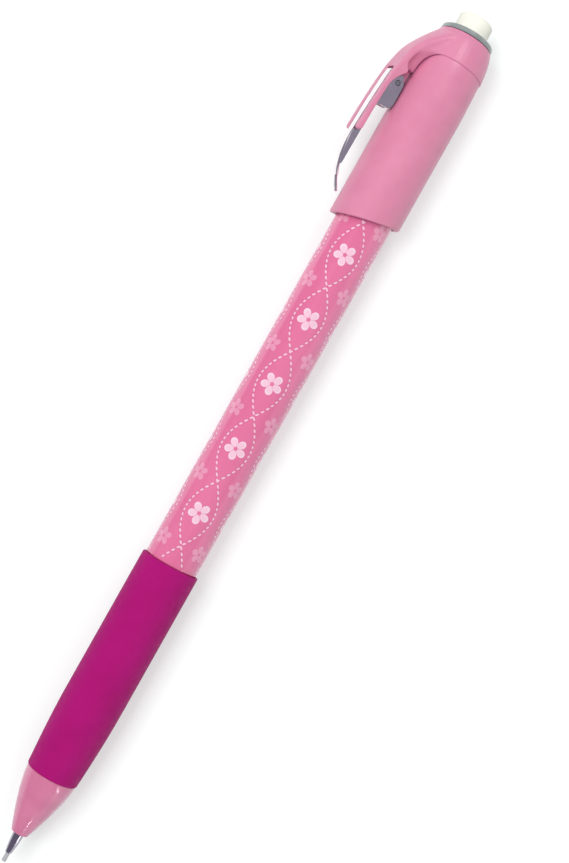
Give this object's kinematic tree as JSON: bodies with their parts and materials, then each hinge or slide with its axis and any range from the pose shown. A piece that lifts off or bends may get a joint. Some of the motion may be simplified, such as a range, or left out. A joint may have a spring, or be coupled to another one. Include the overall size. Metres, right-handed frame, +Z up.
{
  "type": "fabric marking pencil",
  "caption": "Clutch pencil for marking fabric: soft grip, screw-on nose with a metal tip, click cap with a spring clip, collar and pull-out eraser",
  "frame": {"origin": "centre of the flat end of the lead, at the writing point, on the pencil's axis", "axes": "+X points along the axis away from the eraser, out of the writing point; the pencil lies level; +Z is up; the clip is on the -Y side, raised 27 degrees towards +Z"},
  "size_m": [0.1499, 0.015, 0.0118],
  "materials": {
    "lead": "pale grey marking lead",
    "chrome": "bright chrome plate on pressed or turned metal",
    "retainer_rubber": "small black rubber ring",
    "pink_plastic": "satin moulded pink plastic",
    "grip_rubber": "soft matte magenta rubber",
    "barrel_plastic": "glossy pink plastic with a small white and pale pink print",
    "brass": "turned brass",
    "spring_steel": "drawn steel wire",
    "tube_plastic": "plain white moulded tube",
    "grey_plastic": "glossy grey moulded collar",
    "eraser_rubber": "soft off-white eraser, slightly powdery"
  },
  "bodies": {
    "barrel": {"barrel": "barrel_plastic", "grip": "grip_rubber", "chuck_sleeve": "brass", "return_spring": "spring_steel"},
    "cap": {"cap_sleeve": "pink_plastic", "clip_hood": "pink_plastic", "clip_pin": "spring_steel", "eraser_holder": "grey_plastic", "lead_tube": "tube_plastic", "chuck": "brass", "spare_lead_1": "lead", "spare_lead_2": "lead", "spare_lead_3": "lead"},
    "clip": {"clip": "chrome"},
    "eraser": {"eraser": "eraser_rubber"},
    "lead": {"lead": "lead", "clutch_ring": "brass"},
    "tip": {"tip_cone": "chrome", "lead_retainer": "retainer_rubber"},
    "nose": {"nose_cone": "pink_plastic"}
  },
  "joints": [
    {"name": "cap_push", "type": "slide", "parent": "barrel", "child": "cap", "axis": [1, 0, 0], "range_m": [0, 0.004], "stiffness_N_per_m": 400, "springref_m": -0.004, "deforming": ["return_spring"]},
    {"name": "lead_feed", "type": "slide", "parent": "barrel", "child": "lead", "axis": [1, 0, 0], "range_m": [0, 0.0008]},
    {"name": "clip_open", "type": "hinge", "parent": "cap", "child": "clip", "pos_m": [-0.1343, -0.00615, 0.00313], "axis": [0, -0.454, -0.891], "range_deg": [0, 9], "stiffness_Nm_per_rad": 0.05, "springref_deg": -5.73},
    {"name": "eraser_pull", "type": "slide", "parent": "cap", "child": "eraser", "axis": [-1, 0, 0], "range_m": [0, 0.007]},
    {"name": "nose_out", "type": "slide", "parent": "barrel", "child": "tip", "axis": [1, 0, 0], "range_m": [0, 0.004]},
    {"name": "nose_turn", "type": "hinge", "parent": "tip", "child": "nose", "pos_m": [-0.01, 0, 0], "axis": [1, 0, 0], "range_deg": [0, 1440]}
  ],
  "couplings": [
    {"joint": "lead_feed", "follows": "cap_push", "ratio": 0.2},
    {"joint": "nose_turn", "follows": "nose_out", "rad_per_m": 6283}
  ]
}
